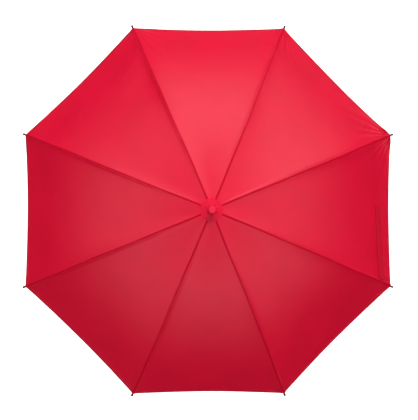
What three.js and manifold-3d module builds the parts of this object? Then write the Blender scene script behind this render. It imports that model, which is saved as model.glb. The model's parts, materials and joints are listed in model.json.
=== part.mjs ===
// Golf umbrella, open: a straight grip, a steel shaft, and an eight-rib canopy of eight sewn gores.
// Millimetres. +Z runs up the shaft, and the origin is at the centre of the hand grip.
// Each rib turns on a wire ring in the top notch. A stretcher as long as the distance from that ring
// to its own joint on the rib runs down to the runner, so the runner slides straight along the shaft.
import * as THREE from "three";
import { mergeVertices } from "three/addons/utils/BufferGeometryUtils.js";
import Module from "manifold-3d";

const wasm = await Module();
wasm.setup();

// ---- Driving dimensions ----
const RIBS = 8;
const FIRST_RIB = THREE.MathUtils.degToRad(22.5); // azimuth of rib_1, from +X towards +Y
const RIB_STEP = (2 * Math.PI) / RIBS;
const GAP = 0.3; // running and seating gap between pieces

const NOTCH_Z = 827; // height of the ribs' pivots
const PIVOT_R = 14; // radius of both wire rings, which are the pivots
const TIP_R = 650; // end of a rib tip, from the shaft's axis
const CROWN_SLOPE = THREE.MathUtils.degToRad(13); // rib slope at the notch, below horizontal
const RIM_SLOPE = THREE.MathUtils.degToRad(41); // rib slope at the tip
const BEND_R = (TIP_R - PIVOT_R) / (Math.sin(RIM_SLOPE) - Math.sin(CROWN_SLOPE));
const RIB_LENGTH = BEND_R * (RIM_SLOPE - CROWN_SLOPE); // along the curve, to the end of the tip

const BAR_WIDTH = 2.6; // ribs and stretchers, across
const RIB_HEIGHT = 4;
const EYE_R = 2.4; // round ends of ribs and stretchers
const HOLE_R = 1.25; // the eye's hole
const JOINT_CHORD = 340; // notch pivot to the rib's middle line above the stretcher joint
const JOINT_DROP = 5; // the stretcher's pivot below the rib's middle line
const JOINT_SLOPE = CROWN_SLOPE + 2 * Math.asin(JOINT_CHORD / (2 * BEND_R));
const JOINT_S = BEND_R * (JOINT_SLOPE - CROWN_SLOPE);

const SHAFT_R = 7;
const SHAFT_WALL = 1;
const SHAFT_BOTTOM = -87;
const SHAFT_TOP = 874;
const FLANGE_R = 17.5; // top notch and runner
const FLANGE_HALF = 4;
const SLOT_WIDTH = BAR_WIDTH + 2 * GAP;
const SLOT_FROM_R = 11;
const GROOVE_R = 12.7;
const GROOVE_HALF = 1.2;
const WIRE_R = 0.8;
const HUB_R = 10.4; // the notch's hub, below its flange
const HUB_DEPTH = 16;
const PIN_R = 1.25;

const SLEEVE_R = 12.8; // runner sleeve
const SLEEVE_DEPTH = 42; // below the runner's pivots
const KEYWAY_WIDTH = 3.6; // clears the catches as the runner passes over them
const KEYWAY_R = 10.8;
const WINDOW_DEPTH = 30; // open slot up from the sleeve's foot, over the catch

const CATCH_WIDTH = 2.6;
const CATCH_REACH = 10.2; // nose, from the shaft's axis
const CATCH_LENGTH = 20; // nose, along the shaft
const CATCH_CLEARANCE = 0.5; // nose to the open runner's foot
const CATCH_SPINE = [0.5, 2.5]; // the blade inside the shaft, near and far side
const CATCH_SPINE_OVER = 12; // spine past each end of the nose
const CLOSED_SLEEVE_FOOT = 112; // runner's foot when the umbrella is shut

const TIP_LENGTH = 26;
const TIP_SOCKET_R = 3.5;
const TIP_SOCKET_DEPTH = 9;

const CLOTH = 1; // gore thickness
const CLOTH_RISE = 4.9; // gore's middle surface above the rib's middle line
const CORNER_R = 638.6; // where a gore's corner meets the tip
const CLOTH_FROM_R = 18.4;
const SEAM_HALF_GAP = 0.25;
const SAG = 0.024; // hollow of a gore between its ribs, as a share of the local width
const HEM_BOW = 6.5; // inward bow of each hem at its middle, in plan

const GRIP_HALF = 90;
const CORE_R = 9.5;
const COLLAR_HEIGHT = 9.5;
const CAP_HEIGHT = 4.7; // below the grip
const CAP_PLUG = 14; // up inside the shaft
const CAP_R = 16.4;

// ---- Helpers ----
const radial = (azimuth) => new THREE.Vector3(Math.cos(azimuth), Math.sin(azimuth), 0);
const ribAzimuth = (i) => FIRST_RIB + i * RIB_STEP;

// A point of the rib's side view: s along its middle line, rise square to it. x is outwards, y is up.
function ribPoint(s, rise = 0) {
  const slope = CROWN_SLOPE + s / BEND_R;
  return new THREE.Vector2(
    PIVOT_R + BEND_R * (Math.sin(slope) - Math.sin(CROWN_SLOPE)) + rise * Math.sin(slope),
    NOTCH_Z - BEND_R * (Math.cos(CROWN_SLOPE) - Math.cos(slope)) + rise * Math.cos(slope),
  );
}
const ribSlope = (s) => CROWN_SLOPE + s / BEND_R;

// Length along the rib at which its middle line is r from the shaft's axis.
function ribLengthAt(r) {
  return BEND_R * (Math.asin(Math.sin(CROWN_SLOPE) + (r - PIVOT_R) / BEND_R) - CROWN_SLOPE);
}

const STRETCHER_JOINT = ribPoint(JOINT_S, -JOINT_DROP);
const RUNNER_Z = 2 * STRETCHER_JOINT.y - NOTCH_Z; // height of the runner's pivots
const RUNNER_FOOT = RUNNER_Z - SLEEVE_DEPTH;

function solid(geometry) {
  const bare = geometry.index ? geometry.toNonIndexed() : geometry.clone();
  bare.deleteAttribute("normal");
  bare.deleteAttribute("uv");
  const merged = mergeVertices(bare, 1e-4);
  return new wasm.Manifold(
    new wasm.Mesh({
      numProp: 3,
      vertProperties: merged.attributes.position.array,
      triVerts: new Uint32Array(merged.index.array),
    }),
  );
}

function geometryOf(manifold) {
  const mesh = manifold.getMesh();
  const geometry = new THREE.BufferGeometry();
  geometry.setAttribute("position", new THREE.BufferAttribute(mesh.vertProperties, 3));
  geometry.setIndex(new THREE.BufferAttribute(mesh.triVerts, 1));
  geometry.computeVertexNormals();
  return geometry;
}

// A plate cut to a side view, standing in the XZ plane and centred on it.
function plate(shape, thickness, curveSegments = 8) {
  const geometry = new THREE.ExtrudeGeometry(shape, {
    depth: thickness,
    bevelEnabled: false,
    curveSegments,
  });
  return geometry.translate(0, 0, -thickness / 2).rotateX(Math.PI / 2);
}

// A turned piece about Z from [radius, height] pairs.
function turned(profile, segments = 24) {
  const points = profile.map(([r, z]) => new THREE.Vector2(r, z));
  return new THREE.LatheGeometry(points, segments).rotateX(Math.PI / 2);
}

// A ring or tube about Z, closed on itself.
function tube(inner, outer, low, high, segments = 24) {
  const corners = [[inner, low], [outer, low], [outer, high], [inner, high], [inner, low]];
  return turned(corners, segments);
}

// A round bar across the axis, at a height.
function crossBar(r, length, z, azimuth = 0, segments = 10) {
  const bar = new THREE.CylinderGeometry(r, r, length, segments).rotateZ(Math.PI / 2);
  return bar.rotateZ(azimuth).translate(0, 0, z);
}

function box(width, depth, height, x, y, z) {
  return new THREE.BoxGeometry(width, depth, height).translate(x, y, z);
}

// ---- Materials ----
const material = (color, roughness, metalness = 0) =>
  new THREE.MeshStandardMaterial({ color, roughness, metalness });
const cloth = material(0xd0183c, 0.85);
const redPlastic = material(0xd2203c, 0.35);
const blackSteel = material(0x1b1b1d, 0.4, 0.6);
const brightSteel = material(0xb9bcc0, 0.3, 1);
const blackPlastic = material(0x17171a, 0.5);
const darkTip = material(0x2a2522, 0.45);
const foam = material(0x202022, 0.9);

const umbrella = new THREE.Group();

function add(name, geometry, finish, parent = umbrella) {
  const mesh = new THREE.Mesh(geometry, finish);
  mesh.name = name;
  parent.add(mesh);
  return mesh;
}

// A group turned to a rib's azimuth, so that its X axis points out along the rib.
function arm(i) {
  const group = new THREE.Group();
  group.rotation.z = ribAzimuth(i);
  umbrella.add(group);
  return group;
}

// ---- Shaft, with a window for each catch and a hole for each pin ----
const TOP_CATCH_Z = RUNNER_FOOT - CATCH_CLEARANCE; // the nose's flat end, just under the open runner
const BOTTOM_CATCH_Z = CLOSED_SLEEVE_FOOT + 4; // the nose's flat end, inside the shut runner's window
const CROWN_PIN_Z = NOTCH_Z - FLANGE_HALF - HUB_DEPTH / 2 + 1;
const STOP_PIN_Z = RUNNER_Z + FLANGE_HALF + PIN_R + 2 * GAP;

function shaftTube() {
  const windowHeight = CATCH_LENGTH + 2 * GAP;
  const window = (z) => solid(box(SHAFT_R + 2, CATCH_WIDTH + 2 * GAP, windowHeight, SHAFT_R / 2 + 3, 0, z));
  const pinHole = (z, azimuth) => solid(crossBar(PIN_R + GAP, 4 * SHAFT_R, z, azimuth));
  const pipe = solid(tube(SHAFT_R - SHAFT_WALL, SHAFT_R, SHAFT_BOTTOM, SHAFT_TOP));
  return pipe
    .subtract(window(TOP_CATCH_Z - CATCH_LENGTH / 2))
    .subtract(window(BOTTOM_CATCH_Z + CATCH_LENGTH / 2))
    .subtract(pinHole(CROWN_PIN_Z, 0))
    .subtract(pinHole(STOP_PIN_Z, Math.PI / 2));
}
add("shaft_tube", geometryOf(shaftTube()), blackSteel);

// ---- Top notch and runner: slotted flanges that hold the wire rings ----
function flangeCuts(pivotZ) {
  const groove = solid(
    tube(GROOVE_R, FLANGE_R + 1, pivotZ - GROOVE_HALF, pivotZ + GROOVE_HALF),
  );
  const reach = FLANGE_R + 2 - SLOT_FROM_R;
  let cuts = groove;
  for (let i = 0; i < RIBS; i++) {
    const slot = box(reach, SLOT_WIDTH, 4 * FLANGE_HALF, SLOT_FROM_R + reach / 2, 0, pivotZ);
    cuts = cuts.add(solid(slot.rotateZ(ribAzimuth(i))));
  }
  return cuts;
}

function topNotch() {
  const bore = SHAFT_R + GAP;
  const foot = NOTCH_Z - FLANGE_HALF - HUB_DEPTH;
  const profile = [
    [bore, foot],
    [HUB_R - 1, foot],
    [HUB_R, foot + 1],
    [HUB_R, NOTCH_Z - FLANGE_HALF],
    [FLANGE_R, NOTCH_Z - FLANGE_HALF],
    [FLANGE_R, NOTCH_Z + FLANGE_HALF - 1],
    [FLANGE_R - 1, NOTCH_Z + FLANGE_HALF],
    [bore, NOTCH_Z + FLANGE_HALF],
    [bore, foot],
  ];
  return solid(turned(profile))
    .subtract(flangeCuts(NOTCH_Z))
    .subtract(solid(crossBar(PIN_R + GAP, 4 * HUB_R, CROWN_PIN_Z)));
}
add("top_notch", geometryOf(topNotch()), blackPlastic);
add("crown_pin", crossBar(PIN_R, 2 * HUB_R - 0.4, CROWN_PIN_Z), brightSteel);
add("stop_pin", crossBar(PIN_R, 2 * SHAFT_R + 6, STOP_PIN_Z, Math.PI / 2), brightSteel);

function runner() {
  const bore = SHAFT_R + 0.4;
  const profile = [
    [bore, RUNNER_FOOT],
    [SLEEVE_R + 1.2, RUNNER_FOOT],
    [SLEEVE_R + 1.2, RUNNER_FOOT + 3],
    [SLEEVE_R, RUNNER_FOOT + 4],
    [SLEEVE_R, RUNNER_Z - FLANGE_HALF - 4],
    [FLANGE_R, RUNNER_Z - FLANGE_HALF],
    [FLANGE_R, RUNNER_Z + FLANGE_HALF],
    [bore, RUNNER_Z + FLANGE_HALF],
    [bore, RUNNER_FOOT],
  ];
  const height = SLEEVE_DEPTH + 4 * FLANGE_HALF;
  const keyway = box(KEYWAY_R, KEYWAY_WIDTH, height, KEYWAY_R / 2, 0, RUNNER_FOOT + height / 2 - FLANGE_HALF);
  const window = box(SLEEVE_R + 4, KEYWAY_WIDTH, 2 * WINDOW_DEPTH, (SLEEVE_R + 4) / 2, 0, RUNNER_FOOT);
  return solid(turned(profile))
    .subtract(flangeCuts(RUNNER_Z))
    .subtract(solid(keyway))
    .subtract(solid(window));
}
add("runner", geometryOf(runner()), blackPlastic);

function wireRing(z) {
  return new THREE.TorusGeometry(PIVOT_R, WIRE_R, 6, 32).translate(0, 0, z);
}
add("notch_wire", wireRing(NOTCH_Z), brightSteel);
add("runner_wire", wireRing(RUNNER_Z), brightSteel);

// ---- Catches: sprung blades in the shaft, under the open runner and inside the shut one ----
// up is +1 for a flat end on top and a ramp below it, and -1 for the other way up.
function catchBlade(flatZ, up) {
  const [spineIn, spineOut] = CATCH_SPINE;
  const end = CATCH_LENGTH - GAP;
  const over = CATCH_SPINE_OVER;
  const shape = new THREE.Shape([
    new THREE.Vector2(spineIn, over),
    new THREE.Vector2(spineIn, -end - over),
    new THREE.Vector2(spineOut, -end - over),
    new THREE.Vector2(spineOut, -end),
    new THREE.Vector2(SHAFT_R - 1.5, -end),
    new THREE.Vector2(CATCH_REACH, -6),
    new THREE.Vector2(CATCH_REACH, -0.8),
    new THREE.Vector2(CATCH_REACH - 0.8, 0),
    new THREE.Vector2(spineOut, 0),
    new THREE.Vector2(spineOut, over),
  ]);
  const blade = plate(shape, CATCH_WIDTH);
  if (up < 0) blade.rotateX(Math.PI);
  return blade.translate(0, 0, flatZ);
}
add("top_catch", catchBlade(TOP_CATCH_Z, 1), brightSteel);
add("bottom_catch", catchBlade(BOTTOM_CATCH_Z, -1), brightSteel);

// ---- Handle ----
function grip() {
  const inner = CORE_R + GAP;
  const outline = new THREE.SplineCurve(
    [[16.6, -GRIP_HALF], [17.3, -60], [17, -20], [15.6, 30], [14.2, 70], [13.6, GRIP_HALF - 1.5]].map(
      ([r, z]) => new THREE.Vector2(r, z),
    ),
  ).getPoints(8);
  const points = [
    new THREE.Vector2(inner, -GRIP_HALF),
    ...outline,
    new THREE.Vector2(12.4, GRIP_HALF),
    new THREE.Vector2(inner, GRIP_HALF),
    new THREE.Vector2(inner, -GRIP_HALF),
  ];
  return new THREE.LatheGeometry(points, 24).rotateX(Math.PI / 2);
}
add("handle_grip", grip(), foam);
add("handle_core", tube(SHAFT_R + GAP, CORE_R, -GRIP_HALF, GRIP_HALF), blackPlastic);

const collarLow = GRIP_HALF + GAP;
add(
  "handle_collar",
  turned([
    [SHAFT_R + GAP, collarLow],
    [12.6, collarLow],
    [12.6, collarLow + 5],
    [9, collarLow + COLLAR_HEIGHT],
    [SHAFT_R + GAP, collarLow + COLLAR_HEIGHT],
    [SHAFT_R + GAP, collarLow],
  ]),
  blackPlastic,
);

const capTop = -GRIP_HALF - GAP;
add(
  "handle_end_cap",
  turned([
    [0, capTop - CAP_HEIGHT],
    [14.6, capTop - CAP_HEIGHT],
    [CAP_R, capTop - 3],
    [CAP_R, capTop],
    [6, capTop],
    [SHAFT_R - SHAFT_WALL - 2 * GAP, capTop + CAP_PLUG],
    [0, capTop + CAP_PLUG],
  ]),
  blackPlastic,
);

// ---- Ribs, each with its tip and the clip that carries its stretcher ----
const RIB_END = RIB_LENGTH - TIP_LENGTH + TIP_SOCKET_DEPTH;

function ribShape() {
  const half = RIB_HEIGHT / 2;
  const head = ribPoint(0);
  const meet = Math.asin(half / EYE_R);
  const from = EYE_R * Math.cos(meet) + 0.5;
  const along = (k, steps) => from + ((RIB_END - from) * k) / steps;
  const steps = 14;
  const shape = new THREE.Shape();
  shape.absarc(head.x, head.y, EYE_R, meet - CROWN_SLOPE, 2 * Math.PI - meet - CROWN_SLOPE, false);
  for (let k = 0; k <= steps; k++) shape.lineTo(...ribPoint(along(k, steps), -half).toArray());
  for (let k = steps; k >= 0; k--) shape.lineTo(...ribPoint(along(k, steps), half).toArray());
  shape.holes.push(new THREE.Path().absarc(head.x, head.y, HOLE_R, 0, 2 * Math.PI, true));
  return shape;
}

function tip() {
  const round = 2.2;
  const outline = new THREE.LatheGeometry(
    [
      [0, 0],
      [TIP_SOCKET_R - 0.5, 0],
      [TIP_SOCKET_R, 1],
      [TIP_SOCKET_R, TIP_SOCKET_DEPTH + 1.5],
      [2, TIP_SOCKET_DEPTH + 4.5],
      [1.7, TIP_LENGTH - 5],
      [round, TIP_LENGTH - 3],
      [round, TIP_LENGTH - 1.4],
      [1.3, TIP_LENGTH],
      [0, TIP_LENGTH],
    ].map(([r, y]) => new THREE.Vector2(r, y)),
    12,
  );
  const depth = TIP_SOCKET_DEPTH + GAP;
  const socket = new THREE.BoxGeometry(RIB_HEIGHT + 2 * GAP, 2 * depth, BAR_WIDTH + 2 * GAP);
  // The tip is turned about Y, and then laid so that Y runs outwards and X runs up.
  const cut = geometryOf(solid(outline).subtract(solid(socket)));
  return cut.rotateZ(-Math.PI / 2).rotateX(Math.PI / 2);
}

// The clip in its own frame: X along the rib, Z square to it, and the origin on the rib's middle line.
function clip() {
  const half = 6;
  const top = RIB_HEIGHT / 2 + GAP + 0.8;
  const cheek = 0.9;
  const inside = BAR_WIDTH / 2 + GAP;
  const earR = 2.7; // round foot of each cheek, about the stretcher's rivet
  const side = new THREE.Shape();
  side.moveTo(-half, top);
  side.lineTo(-half, -1.5);
  side.lineTo(-earR, -JOINT_DROP);
  side.absarc(0, -JOINT_DROP, earR, Math.PI, 2 * Math.PI, false);
  side.lineTo(half, -1.5);
  side.lineTo(half, top);
  const wall = (y) => solid(plate(side, cheek, 6).translate(0, y, 0));
  const bridge = box(2 * half, 2 * (inside + cheek), 0.8, 0, 0, top - 0.4);
  const rivet = new THREE.CylinderGeometry(0.9, 0.9, 2 * inside + cheek, 8).translate(0, 0, -JOINT_DROP);
  return wall(inside + cheek / 2)
    .add(wall(-inside - cheek / 2))
    .add(solid(bridge))
    .add(solid(rivet));
}

function stretcherShape() {
  const low = new THREE.Vector2(PIVOT_R, RUNNER_Z);
  const high = STRETCHER_JOINT;
  const tilt = Math.atan2(high.y - low.y, high.x - low.x);
  const shape = new THREE.Shape();
  shape.absarc(low.x, low.y, EYE_R, tilt + Math.PI / 2, tilt + 1.5 * Math.PI, false);
  shape.absarc(high.x, high.y, EYE_R, tilt - Math.PI / 2, tilt + Math.PI / 2, false);
  for (const eye of [low, high])
    shape.holes.push(new THREE.Path().absarc(eye.x, eye.y, HOLE_R, 0, 2 * Math.PI, true));
  return shape;
}

for (let i = 0; i < RIBS; i++) {
  const here = arm(i);
  add(`rib_${i + 1}`, plate(ribShape(), BAR_WIDTH, 5), blackSteel, here);
  add(`stretcher_${i + 1}`, plate(stretcherShape(), BAR_WIDTH, 5), blackSteel, here);

  const mouth = ribPoint(RIB_LENGTH - TIP_LENGTH);
  const tipMesh = add(`rib_tip_${i + 1}`, tip(), darkTip, here);
  tipMesh.position.set(mouth.x, 0, mouth.y);
  tipMesh.rotation.y = ribSlope(RIB_LENGTH - TIP_LENGTH);

  const seat = ribPoint(JOINT_S);
  const clipMesh = add(`rib_clip_${i + 1}`, geometryOf(clip()), brightSteel, here);
  clipMesh.position.set(seat.x, 0, seat.y);
  clipMesh.rotation.y = JOINT_SLOPE;
}

// ---- Canopy ----
const CORNER_S = ribLengthAt(CORNER_R);
const CLOTH_FROM_S = ribLengthAt(CLOTH_FROM_R);

// A point of gore i: t from 0 at the crown to 1 at the hem, w from 0 on its own rib to 1 on the next.
// rise is square to the ribs, from the middle surface.
function gorePoint(i, t, w, rise) {
  const bow = (HEM_BOW / Math.cos(RIM_SLOPE)) * 4 * w * (1 - w);
  const s = CLOTH_FROM_S + (CORNER_S - bow - CLOTH_FROM_S) * t;
  const onRib = ribPoint(s, CLOTH_RISE + rise);
  const left = radial(ribAzimuth(i)).multiplyScalar(onRib.x);
  const right = radial(ribAzimuth(i + 1)).multiplyScalar(onRib.x);
  const width = left.distanceTo(right);
  const across = (SEAM_HALF_GAP + w * (width - 2 * SEAM_HALF_GAP)) / width;
  const point = left.lerp(right, across);
  point.z = onRib.y - SAG * width * 4 * w * (1 - w);
  return point;
}

// A closed sheet over a grid, from a function that gives a point for (column, row, side).
function sheet(columns, rows, at) {
  const count = (columns + 1) * (rows + 1);
  const positions = [];
  const index = [];
  const id = (c, r, side) => side * count + r * (columns + 1) + c;
  for (const side of [0, 1])
    for (let r = 0; r <= rows; r++)
      for (let c = 0; c <= columns; c++) positions.push(...at(c / columns, r / rows, side).toArray());
  const quad = (a, b, c, d) => index.push(a, c, b, a, d, c);
  for (let r = 0; r < rows; r++)
    for (let c = 0; c < columns; c++) {
      quad(id(c, r, 0), id(c, r + 1, 0), id(c + 1, r + 1, 0), id(c + 1, r, 0));
      quad(id(c, r, 1), id(c + 1, r, 1), id(c + 1, r + 1, 1), id(c, r + 1, 1));
    }
  for (let c = 0; c < columns; c++) {
    quad(id(c, 0, 0), id(c + 1, 0, 0), id(c + 1, 0, 1), id(c, 0, 1));
    quad(id(c + 1, rows, 0), id(c, rows, 0), id(c, rows, 1), id(c + 1, rows, 1));
  }
  for (let r = 0; r < rows; r++) {
    quad(id(0, r + 1, 0), id(0, r, 0), id(0, r, 1), id(0, r + 1, 1));
    quad(id(columns, r, 0), id(columns, r + 1, 0), id(columns, r + 1, 1), id(columns, r, 1));
  }
  const geometry = new THREE.BufferGeometry();
  geometry.setAttribute("position", new THREE.Float32BufferAttribute(positions, 3));
  geometry.setIndex(index);
  geometry.computeVertexNormals();
  return geometry;
}

for (let i = 0; i < RIBS; i++) {
  const at = (w, t, side) => gorePoint(i, t, w, side ? CLOTH / 2 : -CLOTH / 2);
  add(`gore_${i + 1}`, sheet(6, 10, at), cloth);
}

// The rosette covers the crown, under the ferrule.
const ROSETTE_R = 36;
const ROSETTE_FLAT_R = 18;
const ROSETTE_LOW = NOTCH_Z + FLANGE_HALF + 1.4;
const ROSETTE_THICK = 1.2;
const rosetteEdge = ribPoint(ribLengthAt(ROSETTE_R), CLOTH_RISE + CLOTH / 2 + 0.5).y;
add(
  "rosette",
  turned(
    [
      [SHAFT_R + 0.6, ROSETTE_LOW],
      [ROSETTE_FLAT_R, ROSETTE_LOW],
      [ROSETTE_R, rosetteEdge],
      [ROSETTE_R, rosetteEdge + 1.1],
      [ROSETTE_FLAT_R, ROSETTE_LOW + ROSETTE_THICK],
      [SHAFT_R + 0.6, ROSETTE_LOW + ROSETTE_THICK],
      [SHAFT_R + 0.6, ROSETTE_LOW],
    ],
    32,
  ),
  cloth,
);

// ---- Ferrule: a hollow cap pressed over the shaft's end ----
const FERRULE_LOW = ROSETTE_LOW + ROSETTE_THICK + GAP;
const FERRULE_TOP = 889;
const FERRULE_FLAT_R = 4.5;

function ferrule() {
  const bore = SHAFT_R + GAP;
  const dome = new THREE.EllipseCurve(FERRULE_FLAT_R, FERRULE_TOP - 8, 6, 8, 0, Math.PI / 2).getPoints(4);
  const points = [
    new THREE.Vector2(bore, FERRULE_LOW),
    new THREE.Vector2(11.2, FERRULE_LOW),
    new THREE.Vector2(11.2, FERRULE_LOW + 3),
    new THREE.Vector2(10.4, FERRULE_LOW + 5),
    ...dome,
    new THREE.Vector2(0, FERRULE_TOP),
    new THREE.Vector2(0, SHAFT_TOP + GAP),
    new THREE.Vector2(bore, SHAFT_TOP + GAP),
    new THREE.Vector2(bore, FERRULE_LOW),
  ];
  return new THREE.LatheGeometry(points, 24).rotateX(Math.PI / 2);
}
add("ferrule", ferrule(), redPlastic);

// ---- Closing strap: lies on gore_8 beside its hem, sewn in at the seam over rib_8 ----
const STRAP_WIDTH = 21;
const STRAP_THICK = 1.2;
const STRAP_INSET = 34; // hem to the strap's near edge, along the rib
const STRAP_FROM_W = 0.02;
const STRAP_TO_W = 0.54;

function strap() {
  const gore = RIBS - 1;
  const length = CORNER_S - CLOTH_FROM_S;
  const at = (along, across, side) => {
    const w = STRAP_FROM_W + (STRAP_TO_W - STRAP_FROM_W) * along;
    const t = 1 - (STRAP_INSET + STRAP_WIDTH * (1 - across)) / length;
    return gorePoint(gore, t, w, CLOTH / 2 + 0.4 + (side ? STRAP_THICK : 0));
  };
  return sheet(10, 1, at);
}
add("closing_strap", strap(), cloth);

export default umbrella;
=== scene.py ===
"""Golf umbrella: the looks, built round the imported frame.

Metres, +Z up the shaft, origin at the grip's centre.
"""

import json
import math

import bpy
import numpy as np
from mathutils import Matrix, Vector


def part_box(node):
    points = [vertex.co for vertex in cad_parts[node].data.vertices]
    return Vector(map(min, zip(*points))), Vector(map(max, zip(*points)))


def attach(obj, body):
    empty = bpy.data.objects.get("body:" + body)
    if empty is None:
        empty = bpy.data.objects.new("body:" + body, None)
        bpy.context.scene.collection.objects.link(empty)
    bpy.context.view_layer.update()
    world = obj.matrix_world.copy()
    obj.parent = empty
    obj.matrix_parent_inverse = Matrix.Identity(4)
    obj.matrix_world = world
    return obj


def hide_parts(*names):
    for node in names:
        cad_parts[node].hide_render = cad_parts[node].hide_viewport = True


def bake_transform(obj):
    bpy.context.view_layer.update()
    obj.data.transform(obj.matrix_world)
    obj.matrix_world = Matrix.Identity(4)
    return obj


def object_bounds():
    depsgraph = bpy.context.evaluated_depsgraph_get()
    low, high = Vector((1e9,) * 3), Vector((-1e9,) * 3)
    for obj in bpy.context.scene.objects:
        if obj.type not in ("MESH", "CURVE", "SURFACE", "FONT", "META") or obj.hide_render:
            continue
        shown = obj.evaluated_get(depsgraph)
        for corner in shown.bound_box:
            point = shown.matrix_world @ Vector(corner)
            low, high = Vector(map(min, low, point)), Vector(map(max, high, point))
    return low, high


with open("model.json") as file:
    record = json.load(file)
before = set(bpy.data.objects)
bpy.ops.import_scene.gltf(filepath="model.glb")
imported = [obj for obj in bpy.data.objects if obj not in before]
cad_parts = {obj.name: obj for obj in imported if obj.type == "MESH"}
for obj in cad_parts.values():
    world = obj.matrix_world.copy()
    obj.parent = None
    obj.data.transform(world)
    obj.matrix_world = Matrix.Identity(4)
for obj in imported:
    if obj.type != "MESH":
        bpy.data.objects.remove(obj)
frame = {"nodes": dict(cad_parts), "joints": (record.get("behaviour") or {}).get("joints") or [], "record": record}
cad_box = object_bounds()
MM = 0.001

# ---- Driving values: places from the frame, and the design's own slopes ----
joints = {j["name"]: j for j in frame["joints"]}
crown_pivot = Vector(joints["rib_1_fold"]["pos_m"])
RIBS = 8
RIB_STEP = 2 * math.pi / RIBS
FIRST_RIB = math.atan2(crown_pivot.y, crown_pivot.x)
PIVOT_R = math.hypot(crown_pivot.x, crown_pivot.y)
NOTCH_Z = crown_pivot.z
TIP_R = 650 * MM  # the ribs' ends, from the shaft's axis
CROWN_SLOPE = math.radians(13)  # rib slope at the notch, below level
RIM_SLOPE = math.radians(41)  # rib slope at the tip
BEND_R = (TIP_R - PIVOT_R) / (math.sin(RIM_SLOPE) - math.sin(CROWN_SLOPE))
RIB_LENGTH = BEND_R * (RIM_SLOPE - CROWN_SLOPE)

CORNER_R = 638.6 * MM  # the canopy's corners
CLOTH_FROM_R = 18.4 * MM  # the hole at its crown, under the rosette
CLOTH_RISE = 4.9 * MM  # the cloth's middle surface above a rib's middle line
CLOTH_THICK = 0.4 * MM
SAG = 0.024  # dip between two ribs, as a share of the gore's width there
HEM_BOW = 6.5 * MM  # inward bow of each hem at its middle
HEM_FOLD = 9 * MM  # width of the turned hem
TIES = (0.35, 0.62, 0.81)  # thread ties between canopy and rib, as shares of the rib


def rib_azimuth(i):
    return FIRST_RIB + i * RIB_STEP


def rib_length_at(r):
    return BEND_R * (math.asin(math.sin(CROWN_SLOPE) + (r - PIVOT_R) / BEND_R) - CROWN_SLOPE)


CORNER_S = rib_length_at(CORNER_R)
CLOTH_FROM_S = rib_length_at(CLOTH_FROM_R)
GORE_LENGTH = CORNER_S - CLOTH_FROM_S
GORE_WIDTH = 2 * CORNER_R * math.sin(RIB_STEP / 2)


def rib_point(s, rise=0.0):
    """Distance from the axis and height of a point s along a rib's middle line, rise square to it."""
    slope = CROWN_SLOPE + s / BEND_R
    r = PIVOT_R + BEND_R * (np.sin(slope) - math.sin(CROWN_SLOPE)) + rise * np.sin(slope)
    z = NOTCH_Z - BEND_R * (math.cos(CROWN_SLOPE) - np.cos(slope)) + rise * np.cos(slope)
    return r, z


def radial(azimuth):
    return np.array([math.cos(azimuth), math.sin(azimuth), 0.0])


def tangent(azimuth):
    return np.array([-math.sin(azimuth), math.cos(azimuth), 0.0])


def smooth(x):
    """0 below 0 and 1 above 1, with a smooth step between."""
    x = np.clip(x, 0, 1)
    return x * x * (3 - 2 * x)


def bell(x, reach):
    """1 at 0, and 1/e at reach on either side."""
    return np.exp(-((x / reach) ** 2))


# ---- Mesh helpers ----
def make_object(name, vertices, faces, material, uvs=None, sharp=50):
    """A smooth-shaded mesh object. uvs is {layer name: one (u, v) per vertex}."""
    mesh = bpy.data.meshes.new(name)
    mesh.from_pydata([tuple(v) for v in np.asarray(vertices, float)], [], faces)
    mesh.validate()
    mesh.shade_smooth()
    mesh.set_sharp_from_angle(angle=math.radians(sharp))
    corner = np.zeros(len(mesh.loops), np.int32)
    mesh.loops.foreach_get("vertex_index", corner)
    for layer, values in (uvs or {}).items():
        mesh.uv_layers.new(name=layer).data.foreach_set("uv", np.asarray(values)[corner].ravel())
    mesh.materials.append(material)
    obj = bpy.data.objects.new(name, mesh)
    bpy.context.scene.collection.objects.link(obj)
    return obj


def lathe(name, profile, material, segments=64, sharp=40):
    """A piece turned about Z from (radius, height) pairs that start and end on the axis or close up."""
    profile = [tuple(p) for p in profile]
    closed = profile[0] == profile[-1]
    if closed:
        profile = profile[:-1]
    vertices, rings = [], []
    for r, z in profile:
        if r < 1e-6:
            rings.append([len(vertices)] * segments)
            vertices.append((0, 0, z))
            continue
        rings.append([len(vertices) + k for k in range(segments)])
        for k in range(segments):
            a = 2 * math.pi * k / segments
            vertices.append((r * math.cos(a), r * math.sin(a), z))
    faces = []
    pairs = list(zip(rings, rings[1:])) + ([(rings[-1], rings[0])] if closed else [])
    for a, b in pairs:
        for k in range(segments):
            m = (k + 1) % segments
            face = []
            for v in (a[k], a[m], b[m], b[k]):
                if v not in face:
                    face.append(v)
            faces.append(face)
    return make_object(name, vertices, faces, material, sharp=sharp)


def arc_points(cx, cz, rx, rz, start, end, steps):
    angles = np.radians(np.linspace(start, end, steps + 1))
    return [(cx + rx * math.cos(a), cz + rz * math.sin(a)) for a in angles]


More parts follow.
